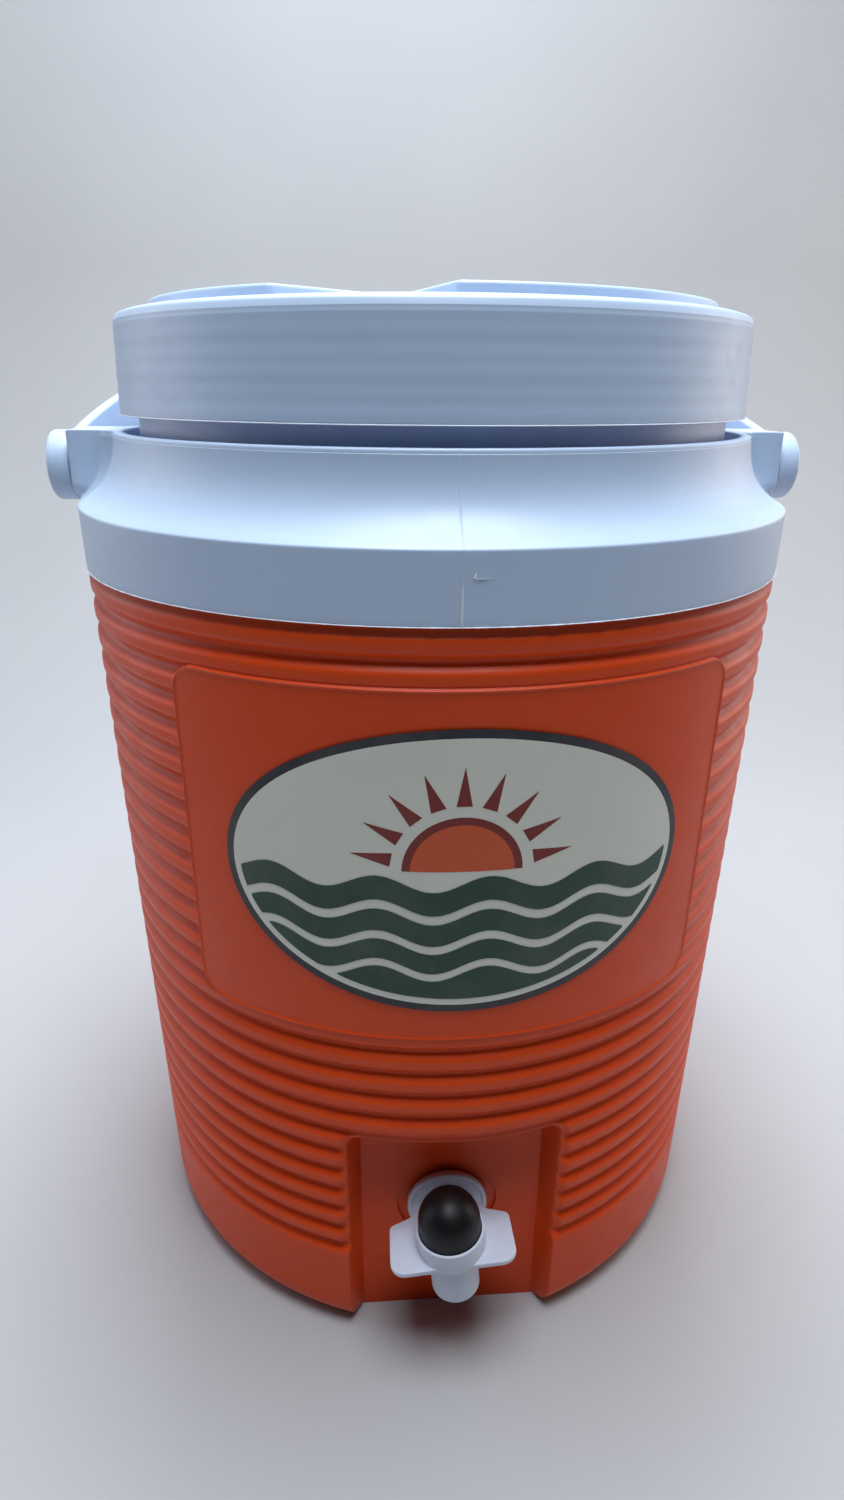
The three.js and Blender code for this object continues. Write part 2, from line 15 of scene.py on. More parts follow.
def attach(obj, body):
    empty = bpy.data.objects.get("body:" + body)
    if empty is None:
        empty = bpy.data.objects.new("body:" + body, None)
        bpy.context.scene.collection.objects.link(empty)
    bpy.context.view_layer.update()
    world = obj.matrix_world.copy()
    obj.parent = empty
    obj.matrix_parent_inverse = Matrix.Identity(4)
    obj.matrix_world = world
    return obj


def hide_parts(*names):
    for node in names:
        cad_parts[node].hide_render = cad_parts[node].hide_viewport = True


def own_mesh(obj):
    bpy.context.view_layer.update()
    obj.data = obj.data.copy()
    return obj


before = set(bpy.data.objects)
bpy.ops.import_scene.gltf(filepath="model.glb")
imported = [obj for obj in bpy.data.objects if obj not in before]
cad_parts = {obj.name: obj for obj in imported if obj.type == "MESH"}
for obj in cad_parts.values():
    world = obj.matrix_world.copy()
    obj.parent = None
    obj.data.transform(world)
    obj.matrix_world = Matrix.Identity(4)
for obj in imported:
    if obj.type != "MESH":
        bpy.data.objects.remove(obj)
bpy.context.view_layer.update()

# %% [markdown]
# ## Numbers that the whole cooler shares
# The body is a cone that widens a little towards the top, so a rib's crest has a radius that grows with
# height. The handle is laid back and the spigot leans a little, and each has a matrix that takes it from its
# own upright drawing to its place.
# %% Shared sizes
MM = 0.001
CREST_AT_FLOOR = 117.5
CREST_RISE = 0.0249
PIVOT_HEIGHT = 306
SPIGOT_HEIGHT = 52.7
SPIGOT_OUT = -122.2
HANDLE_REST = math.radians(14.4)
SPIGOT_LEAN = math.radians(-5.5)
handle_place = Matrix.Translation((0, 0, PIVOT_HEIGHT)) @ Matrix.Rotation(HANDLE_REST, 4, "X")
spigot_place = Matrix.Translation((0, 0, SPIGOT_HEIGHT)) @ Matrix.Rotation(SPIGOT_LEAN, 4, "Y")
to_the_front = Matrix.Rotation(math.radians(-90), 4, "X")


def crest(height):
    """Radius of the body over the crests of its ribs, at a height."""
    return CREST_AT_FLOOR + CREST_RISE * height


print("crest radius at foot and top:", crest(0), round(crest(275), 1))

# %% [markdown]
# ## Finishes: colour and nodes
# Plastic parts are nearly one colour, and what makes them look real is small: a slow drift of the pigment, a
# fine mould grain, a duller bloom where hands have rubbed, and pale wear on edges. All of it is worked out
# from position on the piece, so it stays put when a joint moves. One function turns a hex colour to the linear
# light that the renderer works in, and one adds a node with its settings and links.
# %% Colour and node helpers
def linear(hex_colour):
    """'#rrggbb' in sRGB as linear RGBA."""
    channels = [int(hex_colour[i:i + 2], 16) / 255 for i in (1, 3, 5)]
    return (*(c / 12.92 if c <= 0.04045 else ((c + 0.055) / 1.055) ** 2.4 for c in channels), 1.0)


def add_node(tree, kind, settings=None, links=None):
    """Adds a node. Settings name its own properties, or its inputs by number or capitalised name."""
    node = tree.nodes.new(kind)
    for key, value in (settings or {}).items():
        if isinstance(key, str) and not key[0].isupper():
            setattr(node, key, value)
        else:
            node.inputs[key].default_value = value
    for key, source in (links or {}).items():
        tree.links.new(source, node.inputs[key])
    return node


def new_finish(name):
    """An empty material with its output, and the point on the piece in metres."""
    material = bpy.data.materials.new(name)
    material.use_nodes = True
    tree = material.node_tree
    tree.nodes.clear()
    place = add_node(tree, "ShaderNodeTexCoord").outputs["Object"]
    return material, tree, place


def noise(tree, place, size, detail, roughness=0.5):
    """Noise whose features are about a size in millimetres across."""
    settings = {"Scale": 1 / (size * MM), "Detail": detail, "Roughness": roughness}
    return add_node(tree, "ShaderNodeTexNoise", settings, {"Vector": place}).outputs["Fac"]


def two_tone(tree, first, second, share):
    """A mix of two hex colours by a share."""
    return add_node(tree, "ShaderNodeMix", {"data_type": "RGBA", 6: linear(first), 7: linear(second)},
                    {0: share}).outputs[2]


def end_finish(tree, settings, links):
    """The surface shader and the output that every finish ends with."""
    shader = add_node(tree, "ShaderNodeBsdfPrincipled", settings, links)
    add_node(tree, "ShaderNodeOutputMaterial", links={"Surface": shader.outputs["BSDF"]})


print("orange in linear light:", [round(c, 3) for c in linear("#c8502a")])

# %% [markdown]
# ## Moulded plastic
# The shell, collar, lid, handle, liner, spigot and button are all injection-moulded. Polyethylene and
# polypropylene have an IOR near 1.5 and a soft satin face, because the mould is lightly blasted. The grain
# of such a face is about 0.3 mm, the pigment drifts over some centimetres, and a large part shrinks as it
# cools, which leaves a waviness some 40 mm long and a few hundredths deep. Rubbed edges go pale.
# A single function makes the family, and each finish below gives it the values of its own plastic. On the
# # tap the pale edges are set high, and there they are painted glow as much as wear: light shining through thin
# plastic.
# %% The family of moulded plastics
GRAIN = 0.3
DRIFT = 55
SHRINK = 42
DUST = 2.2
SCUFF = 9


def moulded_plastic(name, colour, deep, dust_wear_and_glow_tone, roughness, gloss=0.5, grain_height=0.012, specks=0.35, edge=0.5):
    """A moulded plastic: its colour, the deeper drift of its pigment, and a paler tone for its dust and rubbed
    edges. A high edge value makes that edge tone a painted glow as well, where light shines through thin edges.
    """
    material, tree, place = new_finish(name)
    drift = noise(tree, place, DRIFT, 3.0)
    base = two_tone(tree, colour, deep, drift)
    dust = noise(tree, place, DUST, 4.0, 0.6)
    few = add_node(tree, "ShaderNodeValToRGB", links={"Fac": dust})
    for stop, position, tone in zip(few.color_ramp.elements, (0.70, 0.78), (0, specks)):
        stop.position = position
        stop.color = (tone, tone, tone, 1)
    dusted = add_node(tree, "ShaderNodeMix", {"data_type": "RGBA", 7: linear(dust_wear_and_glow_tone)},
                      {0: few.outputs["Color"], 6: base})
    shape = add_node(tree, "ShaderNodeNewGeometry")
    # Pale edges found by pointiness: wear on most plastics; where edge is set high it is also painted glow of
    # light through thin edges.
    rim = add_node(tree, "ShaderNodeMapRange", {"From Min": 0.53, "From Max": 0.62, "To Max": edge},
                   {"Value": shape.outputs["Pointiness"]})
    scuff = noise(tree, place, SCUFF, 6.0, 0.7)
    patchy = add_node(tree, "ShaderNodeMath", {"operation": "MULTIPLY"}, {0: rim.outputs["Result"], 1: scuff})
    edge_wear_and_glow = add_node(tree, "ShaderNodeMix", {"data_type": "RGBA", 7: linear(dust_wear_and_glow_tone)},
                          {0: patchy.outputs["Value"], 6: dusted.outputs[2]})
    rubbed = add_node(tree, "ShaderNodeMapRange",
                      {"From Min": 0.35, "From Max": 0.7, "To Min": roughness - 0.05,
                       "To Max": roughness + 0.08}, {"Value": scuff})
    grain = noise(tree, place, GRAIN * 2, 2.0)
    wave = noise(tree, place, SHRINK, 0.0)
    wavy = add_node(tree, "ShaderNodeBump", {"Strength": 0.6, "Distance": 0.25 * MM}, {"Height": wave})
    grained = add_node(tree, "ShaderNodeBump", {"Strength": 0.8, "Distance": grain_height * MM},
                       {"Height": grain, "Normal": wavy.outputs["Normal"]})
    end_finish(tree, {"IOR": 1.5, "Specular IOR Level": gloss},
               {"Base Color": edge_wear_and_glow.outputs[2], "Roughness": rubbed.outputs["Result"],
                "Normal": grained.outputs["Normal"]})
    return material


orange_polyethylene = moulded_plastic("orange_polyethylene", "#e04a0f", "#d6430c", "#e89a78", 0.44,
                                      gloss=0.3, edge=0.35)
pale_blue_polyethylene = moulded_plastic("pale_blue_polyethylene", "#c3d6ee", "#bbcfe9", "#f0f5fb", 0.40)
# The tap's pale edges are strong: over the wear they are painted glow of light shining through the thin wing
# edges.
pale_tap_plastic = moulded_plastic("pale_tap_plastic", "#d0d6e4", "#c8cfdf", "#f4f5fa", 0.36, edge=0.8)
white_liner_plastic = moulded_plastic("white_liner_plastic", "#c6d2ee", "#bccae8", "#f6f9fc", 0.38)
black_button_plastic = moulded_plastic("black_button_plastic", "#0d0e10", "#08090b", "#4a4a50", 0.45,
                                       gloss=0.3, specks=0.1)
burr_plastic = moulded_plastic("burr_plastic", "#eef3f9", "#e2eaf4", "#ffffff", 0.5)
print("moulded finishes end with:", burr_plastic.name)

# %% [markdown]
# ## Foam, rubber, steel and printed film
# The foam that fills the walls is rigid polyurethane: matt, creamy and full of cells about 0.6 mm wide.
# Seals are moulded black rubber, which is dark, slightly brown and dull. The spring is drawn wire, a bare
# metal whose fine draw marks run along it. The label is printed on a thin clear-coated vinyl film, so every
# colour of it has the same soft gloss, with a faint haze where it has been rubbed.
# %% The other finishes
def rigid_foam():
    material, tree, place = new_finish("rigid_foam")
    cells = add_node(tree, "ShaderNodeTexVoronoi", {"Scale": 1 / (0.6 * MM)},
                     {"Vector": place}).outputs["Distance"]
    tone = two_tone(tree, "#e2cf94", "#f1e3b6", cells)
    pits = add_node(tree, "ShaderNodeBump", {"Strength": 0.7, "Distance": 0.2 * MM}, {"Height": cells})
    end_finish(tree, {"Roughness": 0.95, "IOR": 1.5}, {"Base Color": tone, "Normal": pits.outputs["Normal"]})
    return material


def seal_rubber():
    material, tree, place = new_finish("seal_rubber")
    bloom = noise(tree, place, 6, 5.0)
    tone = two_tone(tree, "#262628", "#39383a", bloom)
    skin = add_node(tree, "ShaderNodeBump", {"Strength": 0.5, "Distance": 0.03 * MM}, {"Height": bloom})
    end_finish(tree, {"Roughness": 0.72, "IOR": 1.52}, {"Base Color": tone, "Normal": skin.outputs["Normal"]})
    return material


def spring_wire():
    material, tree, place = new_finish("spring_wire")
    marks = noise(tree, place, 0.25, 3.0)
    shine = add_node(tree, "ShaderNodeMapRange", {"To Min": 0.22, "To Max": 0.4}, {"Value": marks})
    end_finish(tree, {"Metallic": 1.0, "Base Color": linear("#b9bcc0")}, {"Roughness": shine.outputs["Result"]})
    return material


def printed_vinyl(name, colour):
    """One printed colour of the label film, with its haze and a faint print grain about 0.25 mm wide."""
    material, tree, place = new_finish(name)
    screen = noise(tree, place, 0.5, 2.0)
    haze = noise(tree, place, 28, 5.0, 0.65)
    veil = add_node(tree, "ShaderNodeMapRange", {"From Min": 0.45, "From Max": 0.75, "To Max": 0.10},
                    {"Value": haze})
    ink = two_tone(tree, colour, "#b9aca2", veil.outputs["Result"])
    rubbed = add_node(tree, "ShaderNodeMapRange", {"To Min": 0.3, "To Max": 0.46}, {"Value": haze})
    tooth = add_node(tree, "ShaderNodeBump", {"Strength": 0.3, "Distance": 0.01 * MM}, {"Height": screen})
    end_finish(tree, {"IOR": 1.46}, {"Base Color": ink, "Roughness": rubbed.outputs["Result"],
                                     "Normal": tooth.outputs["Normal"]})
    return material


cut_foam = rigid_foam()
black_rubber = seal_rubber()
drawn_steel = spring_wire()
ink_black = printed_vinyl("ink_black", "#23242b")
ink_cream = printed_vinyl("ink_cream", "#dfe0d3")
ink_green = printed_vinyl("ink_green", "#173f31")
ink_red = printed_vinyl("ink_red", "#7c1d12")
ink_orange = printed_vinyl("ink_orange", "#d2531f")
print("finishes made:", len(bpy.data.materials))

# %% [markdown]
# ## Mesh helpers
# Most pieces are turned on an axis or are flat plates with rounded edges. Both start from a few corners, and
# a corner's radius is what tells a moulded part from a cut block, so one function rounds the corners of a
# path. A surface of revolution and a body whose radius changes with angle are the same thing, a net of points
# with rows and columns, so one function turns any such net into faces.
# %% Rounding corners and making nets
def rounded(corners, closed=False, steps=5):
    """A path through corners (a, b, radius), with an arc at each corner that has a radius."""
    path = []
    count = len(corners)
    for i, (a, b, radius) in enumerate(corners):
        here = Vector((a, b))
        if not radius or (not closed and i in (0, count - 1)):
            path.append((a, b))
            continue
        before = Vector(corners[i - 1][:2]) - here
        after = Vector(corners[(i + 1) % count][:2]) - here
        half = before.angle(after) / 2
        reach = min(radius / math.tan(half), before.length * 0.49, after.length * 0.49)
        radius = reach * math.tan(half)
        centre = here + (before.normalized() + after.normalized()).normalized() * (radius / math.sin(half))
        start = here + before.normalized() * reach - centre
        turn = start.angle_signed(here + after.normalized() * reach - centre)
        for k in range(steps + 1):
            arm = start.copy()
            arm.rotate(Matrix.Rotation(-turn * k / steps, 2))
            path.append(tuple(centre + arm))
    return path


def net(rows, ring_of_rows=False):
    """Points and faces of a net whose columns close on themselves. rows is an array: row, column, xyz."""
    rows = np.asarray(rows, float)
    count, columns = rows.shape[:2]
    faces = []
    for i in range(count if ring_of_rows else count - 1):
        low, high = i * columns, ((i + 1) % count) * columns
        for j in range(columns):
            k = (j + 1) % columns
            faces.append((low + j, low + k, high + k, high + j))
    return rows.reshape(-1, 3), faces


def polar(radius, angle, height):
    """Points from a radius and an angle that is 0 at the front and grows towards +X."""
    return np.stack(np.broadcast_arrays(radius * np.sin(angle), -radius * np.cos(angle), height), axis=-1)


def turned(profile, sides=160):
    """A solid of revolution about Z: the profile closes on itself, or starts and ends on the axis."""
    angle = np.arange(sides) * 2 * math.pi / sides
    rows = [polar(max(r, 0.0), angle, z) for r, z in profile]
    on_axis = profile[0][0] == 0 and profile[-1][0] == 0
    return net(rows, ring_of_rows=not on_axis)


def moved(shape, place):
    points, faces = shape
    return np.array([place @ Vector(p) for p in points]), faces


def plate(outline, low, high, edge_top=0.0, edge_bottom=0.0, steps=4):
    """A flat plate from a closed outline in X and Y, with its upper and lower edges rounded."""
    flat = np.array(outline, float)
    ahead, behind = np.roll(flat, -1, axis=0), np.roll(flat, 1, axis=0)
    along = ahead - behind
    inward = np.stack([-along[:, 1], along[:, 0]], axis=1)
    inward /= np.linalg.norm(inward, axis=1)[:, None]
    area = np.sum(flat[:, 0] * ahead[:, 1] - ahead[:, 0] * flat[:, 1])
    inward *= 1 if area > 0 else -1
    loops = []
    for k in range(steps + 1 if edge_bottom else 1):
        a = math.pi / 2 * (1 - k / steps) if edge_bottom else 0
        loops.append((edge_bottom * (1 - math.cos(a)), low + edge_bottom * (1 - math.sin(a))))
    for k in range(steps + 1 if edge_top else 1):
        a = math.pi / 2 * k / steps if edge_top else 0
        loops.append((edge_top * (1 - math.cos(a)), high - edge_top * (1 - math.sin(a))))
    rows = [np.column_stack([flat + inward * inset, np.full(len(flat), z)]) for inset, z in loops]
    points, faces = net(rows)
    columns = len(flat)
    faces.append(tuple(range(columns)))
    faces.append(tuple(range(len(points) - columns, len(points))))
    return points, faces


print("one rounded corner has", len(rounded([(0, 0, 0), (9, 0, 2), (9, 9, 0)])) - 2, "points")

# %% [markdown]
# ## From points to a piece
# A piece becomes a Blender object once: its doubled points are welded, its faces turned outwards, and its
# creases kept sharp where the angle is steep while the rest is smooth. It then rides on a CAD body, takes its
# finish, and the CAD node it stands for is hidden. Where a real part is one moulding with
# bosses and holes, its solids are joined or cut with an exact boolean, as the CAD does.
# %% Making, joining and placing pieces
SHARP_ANGLE = math.radians(38)
WELD = 0.004 * MM


def mesh_object(name, shape):
    points, faces = shape
    data = bpy.data.meshes.new(name)
    data.from_pydata([tuple(p) for p in np.asarray(points) * MM], [], faces)
    thing = bpy.data.objects.new(name, data)
    bpy.context.scene.collection.objects.link(thing)
    clean(thing)
    return thing


def clean(thing):
    work = bmesh.new()
    work.from_mesh(thing.data)
    bmesh.ops.remove_doubles(work, verts=work.verts, dist=WELD)
    bmesh.ops.dissolve_degenerate(work, dist=WELD, edges=work.edges)
    bmesh.ops.recalc_face_normals(work, faces=work.faces)
    work.to_mesh(thing.data)
    work.free()


def combine(thing, other, operation):
    """Joins other to thing, or cuts it away, and removes it."""
    step = thing.modifiers.new("combine", "BOOLEAN")
    step.operation = operation
    step.solver = "EXACT"
    step.object = other
    bpy.context.view_layer.update()
    result = bpy.data.meshes.new_from_object(thing.evaluated_get(bpy.context.evaluated_depsgraph_get()))
    thing.modifiers.clear()
    thing.data = result
    bpy.data.objects.remove(other)


def make_piece(name, body, material, shapes, cuts=(), node=None):
    """A finished piece from one or more solids, less its cuts, standing for the CAD node of its name."""
    thing = mesh_object(name, shapes[0])
    for other in shapes[1:]:
        combine(thing, mesh_object(name + "_add", other), "UNION")
    for other in cuts:
        combine(thing, mesh_object(name + "_cut", other), "DIFFERENCE")
    clean(thing)
    finish_piece(thing, body, material, node or name)
    return thing


def finish_piece(thing, body, material, node):
    for face in thing.data.polygons:
        face.use_smooth = True
    thing.data.set_sharp_from_angle(angle=SHARP_ANGLE)
    if not thing.data.materials:
        thing.data.materials.append(material)
    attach(thing, body)
    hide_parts(node)
    size = [round(d / MM, 1) for d in thing.dimensions]
    print(f"{thing.name}: {len(thing.data.polygons)} faces, {size} mm")


# %% [markdown]
# ## The ribbed shell
# The shell is one blow of polyethylene with 25 rings, a smooth label panel and a pocket for the spigot.
# It could be cut from a turned solid, but then every lip would be knife-sharp. Instead the whole skin is one
# net in angle and height, whose radius is a formula: the ribs first, then the panel, then the pocket, each
# let in with a soft step as wide as the mould's own corner radius. The net's columns and rows crowd together
# where a corner has to be crisp, and are wide apart elsewhere.
# %% Steps and graded spacing
def soft_step(low, high, value):
    """0 below low, 1 above high, smooth between."""
    t = np.clip((value - low) / (high - low), 0, 1)
    return t * t * (3 - 2 * t)


def graded(start, stop, coarse, zones):
    """Values from start to stop, a coarse step apart, or finer in zones of (low, high, step)."""
    values = [start]
    while values[-1] < stop - 1e-9:
        here = values[-1]
        step = min([fine for low, high, fine in zones if low <= here + 1e-9 < high] + [coarse])
        gate = min([low for low, high, fine in zones if here + 1e-9 < low] + [stop])
        values.append(min(here + step, gate, stop))
    return np.array(values)


def rounded_box_distance(across, up, half, low, high, corner):
    """Distance outside (+) or inside (-) a rectangle with round corners."""
    dx = np.abs(across) - (half - corner)
    dy = np.abs(up - (low + high) / 2) - ((high - low) / 2 - corner)
    outside = np.hypot(np.maximum(dx, 0), np.maximum(dy, 0))
    return outside + np.minimum(np.maximum(dx, dy), 0) - corner


# %% The shell's surface as a formula
RIB_PITCH = 9.29
FIRST_GROOVE = 43.05
GROOVES = 26
GROOVE_DEPTH = 2.0
PANEL_LOW, PANEL_HIGH, PANEL_HALF, PANEL_CORNER = 142.5, 259.0, 83.0, 8.0
POCKET_FLOOR, POCKET_TOP, POCKET_ANGLE, POCKET_CORNER = 102.0, 95.5, math.radians(18.1), 5.0
POCKET_TURN = math.radians(0.65)
POCKET_BELOW = -60
FACE_RADIUS = 118
SHELL_WALL = 2.5
FOOT_ROUND = 13.0


def rib_radius(height):
    """Round ribs with narrow round grooves between them, over the smooth band at the foot."""
    from_groove = (height - FIRST_GROOVE + RIB_PITCH / 2) % RIB_PITCH - RIB_PITCH / 2
    ribbed = (height > FIRST_GROOVE - RIB_PITCH / 2) & (height < FIRST_GROOVE + (GROOVES - 0.5) * RIB_PITCH)
    groove = GROOVE_DEPTH * (1 - soft_step(0.35, 3.3, np.abs(from_groove)))
    crown = 0.34 * (np.abs(from_groove) / (RIB_PITCH / 2) - 1) ** 2
    low_crown = np.where(height < FIRST_GROOVE, 0, crown)
    return crest(height) - np.where(ribbed, groove + low_crown, 0)


def skin_radius(angle, height):
    """Radius of the shell's outside."""
    below = np.clip(FOOT_ROUND - height, 0, FOOT_ROUND)
    radius = rib_radius(height) - FOOT_ROUND + np.sqrt(FOOT_ROUND ** 2 - below ** 2)
    past_pocket = pocket_distance(angle, height, 0)
    base = np.minimum(radius, crest(height) - GROOVE_DEPTH)
    radius = base + (radius - base) * np.where(height > FIRST_GROOVE, soft_step(0.5, 4.2, past_pocket), 1)
    panel = rounded_box_distance(crest(height) * np.sin(angle), height, PANEL_HALF, PANEL_LOW, PANEL_HIGH,
                                 PANEL_CORNER)
    panel = np.where(np.cos(angle) > 0, panel, 99)
    lip = 0.42 * np.exp(-((panel + 0.35) / 0.42) ** 2)
    radius = radius + (crest(height) + 0.2 - radius) * soft_step(0.5, -0.3, panel) + lip
    return radius + (POCKET_FLOOR / np.cos(np.clip(angle, -1, 1)) - radius) * pocket_share(past_pocket)


def pocket_distance(angle, height, grow):
    """Distance outside (+) or inside (-) the pocket's outline. grow widens it by a wall's thickness."""
    return rounded_box_distance((angle - POCKET_TURN) * FACE_RADIUS, height, POCKET_ANGLE * FACE_RADIUS + grow,
                                POCKET_BELOW, POCKET_TOP + grow, POCKET_CORNER)


def pocket_share(edge):
    """1 on the pocket's floor, 0 outside it, with round lips."""
    return soft_step(1.5, -0.7, edge) ** 1.5


def fine_zones(middles, offset=0.0):
    """Zones of fine columns on both sides, from (degrees from the front, half width, step)."""
    return [(s * m + offset - w, s * m + offset + w, f) for s in (-1, 1) for m, w, f in middles]


pocket_side = math.degrees(POCKET_ANGLE)
fine_angles = fine_zones([(42.6, 1.4, 0.13), (39, 2.2, 0.4)])
fine_angles += fine_zones([(pocket_side, 1.1, 0.11), (pocket_side + 2.3, 1.2, 0.3)], math.degrees(POCKET_TURN))
shell_angles = np.radians(graded(-180, 180, 1.5, fine_angles)[:-1])
foot_heights = FOOT_ROUND * (1 - np.cos(np.linspace(0, math.pi / 2, 26)))
shell_heights = np.concatenate([foot_heights, graded(FOOT_ROUND, 275.3, 0.72, [
    (POCKET_TOP - 2, POCKET_TOP + 2, 0.28), (PANEL_LOW - 1.2, PANEL_LOW + 1.2, 0.17),
    (PANEL_HIGH - 1.2, PANEL_HIGH + 1.2, 0.17)])[1:]])
print("shell net:", len(shell_heights), "rows by", len(shell_angles), "columns")

# %% Build the shell
angles = shell_angles[None, :]
skin = polar(skin_radius(angles, shell_heights[:, None]), angles, shell_heights[:, None])
neck_rows = [polar(r, shell_angles, z)
             for r, z in ((121.6, 275.6), (121.2, 276.4), (121.2, 289.2), (120.9, 289.5), (118.9, 289.5),
                          (118.6, 289.2))]
inside_heights = graded(6.5, 287.0, 12, [(POCKET_TOP - 6, POCKET_TOP + 8, 0.8)])[::-1]
plain = np.interp(inside_heights, [6.5, 289.5], [112.8, 118.6])[:, None] + 0 * angles
floor_back = POCKET_FLOOR / np.cos(np.clip(angles, -1, 1)) - SHELL_WALL
share = pocket_share(pocket_distance(angles, inside_heights[:, None], SHELL_WALL))
lining = polar(plain + (floor_back - plain) * share, angles, inside_heights[:, None])
centre = np.zeros((1, len(shell_angles), 3))
base_rings = [polar(r, shell_angles, z) for r, z in ((44, 0), (46, 1.5), (97.5, 1.5), (99.5, 0))]
shell_rows = np.concatenate([centre, np.array(base_rings), skin, np.array(neck_rows), lining,
                             centre + np.array([0, 0, 6.5])])
counterbore = turned([(0, -107), (18.6, -107), (18.6, -100.7), (0, -100.7)], 64)
tap_hole = turned([(0, -110), (8.5, -110), (8.5, -95), (0, -95)], 48)
along_inlet = Matrix.Translation((0, 0, SPIGOT_HEIGHT)) @ to_the_front
make_piece("outer_shell_skin", "cooler_body", orange_polyethylene, [net(shell_rows)],
           cuts=[moved(counterbore, along_inlet), moved(tap_hole, along_inlet)], node="outer_shell")

# %% [markdown]
# ## The collar
# The collar is one pale ring that clamps the liner into the shell. Its outside is a hollow sweep, steep at the
# rim and nearly flat at the crease, and on each side a boss stands out of the sweep to carry the handle. A boss
# joined on as a block would need its fillets made by hand, so this is the same kind of net as the shell: near
# each side the radius grows from the sweep to the boss's flat face, slowly at the foot of the fillet and
# quickly at the lip. A hair-fine ridge at the front is the line where the mould's two halves meet.
# %% The collar's profile
RIM, RIM_RADIUS = 318.5, 111.0
BOSS_FACE, BOSS_HALF, BOSS_LOW, BOSS_CORNER = 127.3, 14.0, 296.2, 5.0
SEAM_ANGLE = math.radians(-0.95)
BAND_RADIUS = 125.0


def sweep_curve(count, inset=0.0):
    """The hollow sweep from the crease up to the rim, as a cubic curve."""
    corners = np.array([(124.7, 295.9), (116.4, 300.4), (111.8, 305.0), (111.2, 317.1)]) - [inset, inset * 0.8]
    t = np.linspace(0, 1, count)[:, None]
    weights = ((1 - t) ** 3, 3 * t * (1 - t) ** 2, 3 * t * t * (1 - t), t ** 3)
    return sum(w * c for w, c in zip(weights, corners))


band = [(121.8, 275.7, 0), (124.6, 275.7, 0.45), (125.0, 295.7, 0.9), (122.6, 297.0, 0)]
lower = rounded(band, steps=4)[:-1]
band_side = [(np.interp(z, [276.2, 294.7], [lower[-6][0], 124.98]), z)
             for z in graded(278, 294.4, 2, [(292, 295, 0.4)])]
outside = lower[:6] + band_side + lower[6:] + [tuple(p) for p in sweep_curve(46)[5:]]
rim_turn = rounded([(RIM_RADIUS + 0.1, 317.2, 0), (RIM_RADIUS, RIM, 1.1), (107.3, RIM, 0.5),
                    (107.3, 315.4, 0.4), (103.4, 315.4, 0.4), (103.4, 312.7, 0.4), (107.6, 312.4, 0)], steps=4)
collar_profile = outside + rim_turn + [tuple(p) for p in sweep_curve(12, 3.2)[::-1][1:]] + [(121.8, 292.2)]
boss_rows = len(outside) + 6
print("collar profile points:", len(collar_profile))

# %% Build the collar
fine_degrees = [(s * 90 - 8.6, s * 90 + 8.6, 0.16) for s in (-1, 1)]
seam_degrees = math.degrees(SEAM_ANGLE)
fine_degrees.append((seam_degrees - 0.4, seam_degrees + 0.4, 0.05))
collar_angles = np.radians(graded(-180, 180, 2.0, fine_degrees)[:-1])
collar_rows = []
for i, (r, z) in enumerate(collar_profile):
    radius = r
    if i < boss_rows and z > 277:
        seam = 0.16 * np.exp(-((collar_angles - SEAM_ANGLE) * r / 0.22) ** 2)
        from_side = np.abs(collar_angles) - math.pi / 2
        sideways = BOSS_FACE * np.tan(np.clip(from_side, -0.4, 0.4))
        edge = rounded_box_distance(sideways, z, BOSS_HALF, BOSS_LOW, 400, BOSS_CORNER)
        inset = max(0.0, RIM_RADIUS - r) if z > 317 else 0
        boss = BOSS_FACE / np.cos(np.clip(from_side, -0.4, 0.4)) - inset
        rise = 0.7 * soft_step(2.0, -1.0, edge) + 0.3 * soft_step(8.0, 1.0, edge) ** 1.6
        radius = radius + np.maximum(boss - radius, 0) * rise + seam
    collar_rows.append(polar(radius, collar_angles, z))
along_x = Matrix.Rotation(math.radians(90), 4, "Y")
half_turn = Matrix.Rotation(math.pi, 4, "Z")
pivot_height = Matrix.Translation((0, 0, PIVOT_HEIGHT))
pin_socket = turned([(0, 114.0), (4.3, 114.0), (4.3, 129), (0, 129)], 48)
make_piece("collar_ring", "cooler_body", pale_blue_polyethylene, [net(collar_rows, ring_of_rows=True)],
           cuts=[moved(pin_socket, pivot_height @ turn @ along_x) for turn in (Matrix(), half_turn)],
           node="collar")

# %% [markdown]
# ## The liner and its neck
# The liner is the tub that holds the drink, with a neck that stands through the collar. It is turned in one
# go with round corners, like the moulding, and four short lugs on the neck hold the lid. A flat is faced
# inside round the spigot's hole, so that the nut and its washer sit square on a round wall.
# %% Build the liner
LUG_HALF = math.radians(15)


def lug(middle, inner, outer, low, high):
    """A short lug: a sector of a ring, with soft edges."""
    sweep = np.linspace(middle - LUG_HALF, middle + LUG_HALF, 24)
    outer_arc = [(outer * math.sin(a), -outer * math.cos(a)) for a in sweep]
    inner_arc = [(inner * math.sin(a), -inner * math.cos(a)) for a in sweep[::-1]]
    return plate(outer_arc + inner_arc, low, high, 0.4, 0.4, steps=2)


